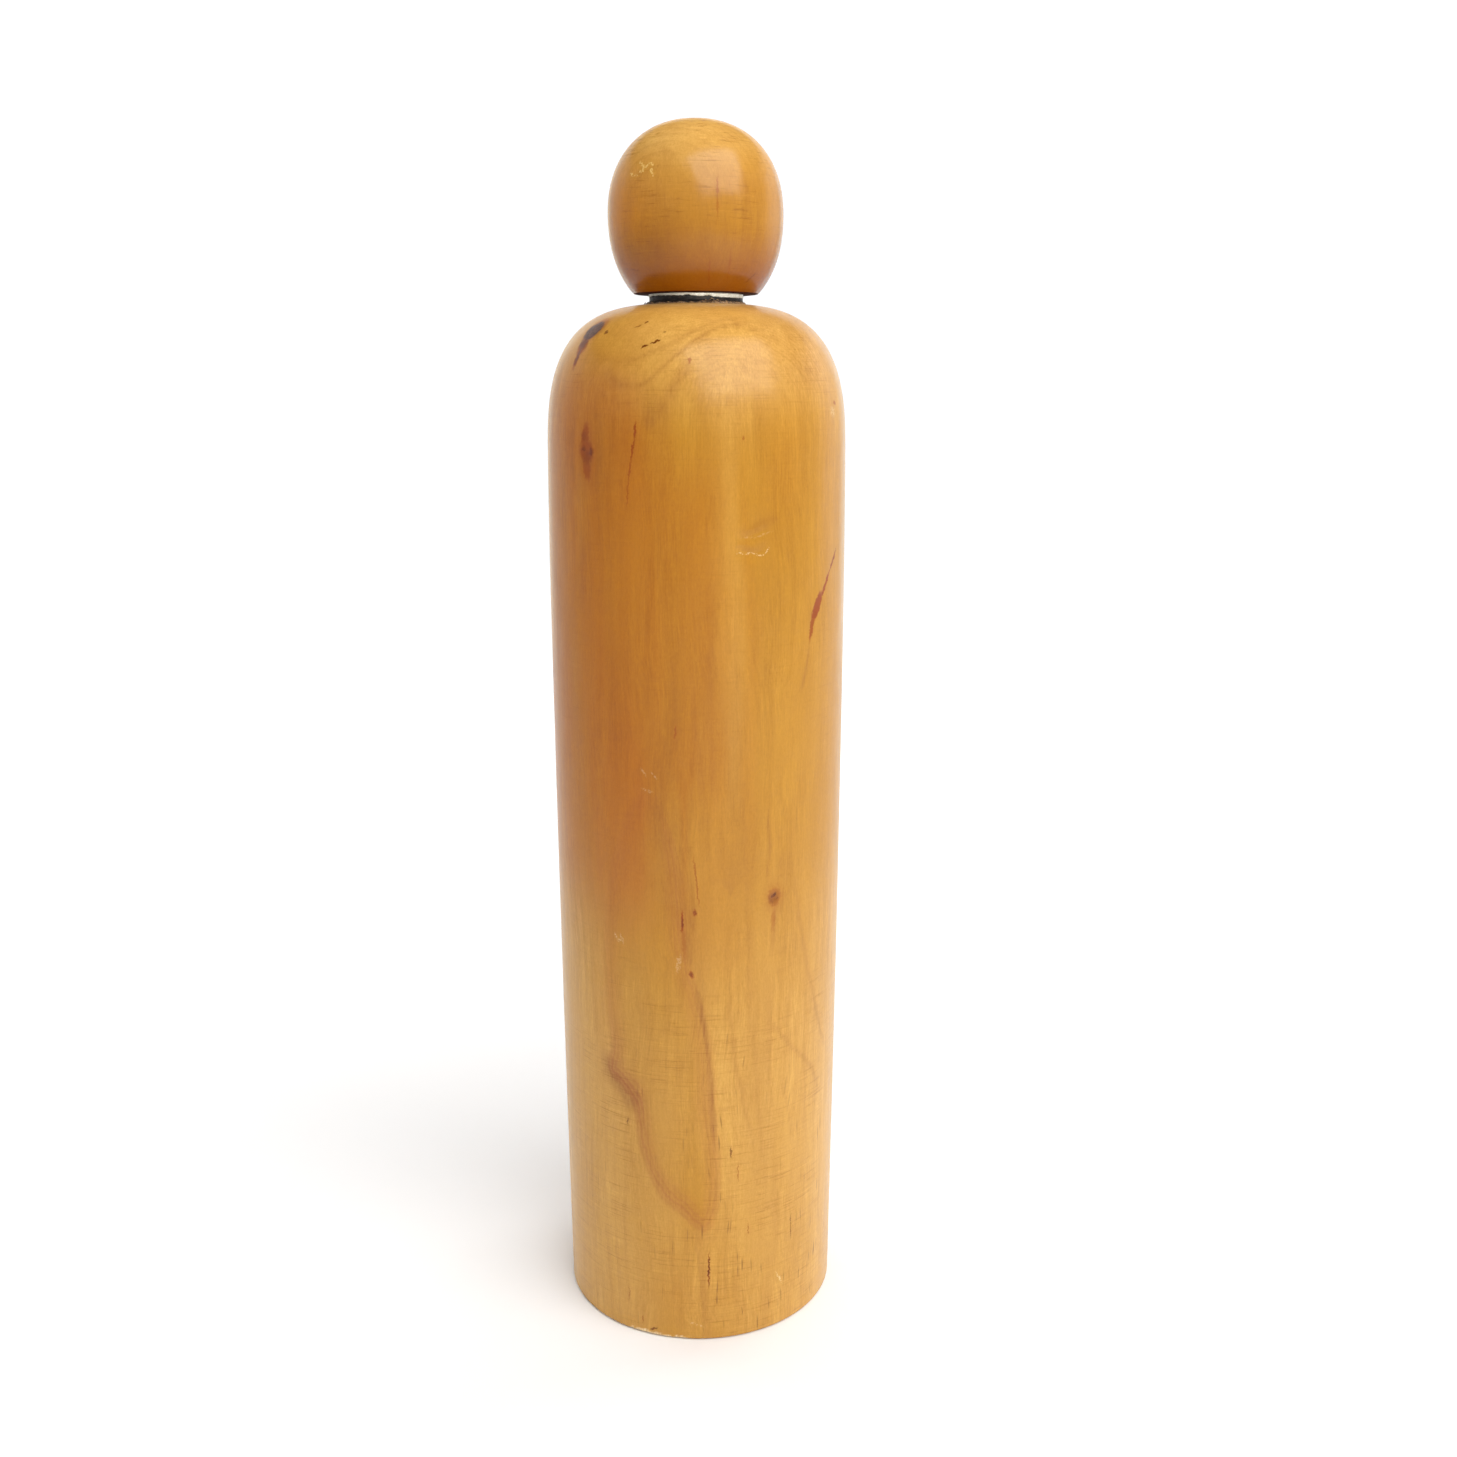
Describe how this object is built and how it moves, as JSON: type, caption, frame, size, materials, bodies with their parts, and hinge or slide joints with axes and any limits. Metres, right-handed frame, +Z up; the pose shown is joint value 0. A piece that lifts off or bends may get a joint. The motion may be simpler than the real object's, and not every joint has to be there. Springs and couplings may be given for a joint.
{
  "type": "turned wooden doll",
  "caption": "Plain turned wooden doll of kokeshi form: a ball head that turns on a tall domed body, with a thin metal collar over a black ring at the neck.",
  "frame": {"origin": "centre of the flat base, on the surface that the doll stands on", "axes": "+Z up along the turning axis, from the base to the crown of the head; -Y faces the viewer of the picture"},
  "size_m": [0.074, 0.074, 0.303],
  "materials": {
    "head_wood": "fine-grained light hardwood under glossy amber varnish",
    "body_wood": "fine-grained light hardwood with knots and growth figure under glossy amber varnish",
    "neck_black": "matt black",
    "collar_metal": "dull polished silver",
    "spindle_wood": "bare hardwood dowel",
    "washer_nylon": "natural nylon",
    "washer_steel": "zinc-plated",
    "screw_steel": "yellow passivated"
  },
  "bodies": {
    "body": {"body": "body_wood", "neck_ring": "neck_black", "neck_collar": "collar_metal", "thrust_washer": "washer_nylon"},
    "head": {"head": "head_wood", "neck_spindle": "spindle_wood", "retaining_washer": "washer_steel", "retaining_screw": "screw_steel"}
  },
  "joints": [
    {"name": "head_turn", "type": "hinge", "parent": "body", "child": "head", "pos_m": [0, 0, 0.2631], "axis": [0, 0, 1], "continuous": true}
  ]
}
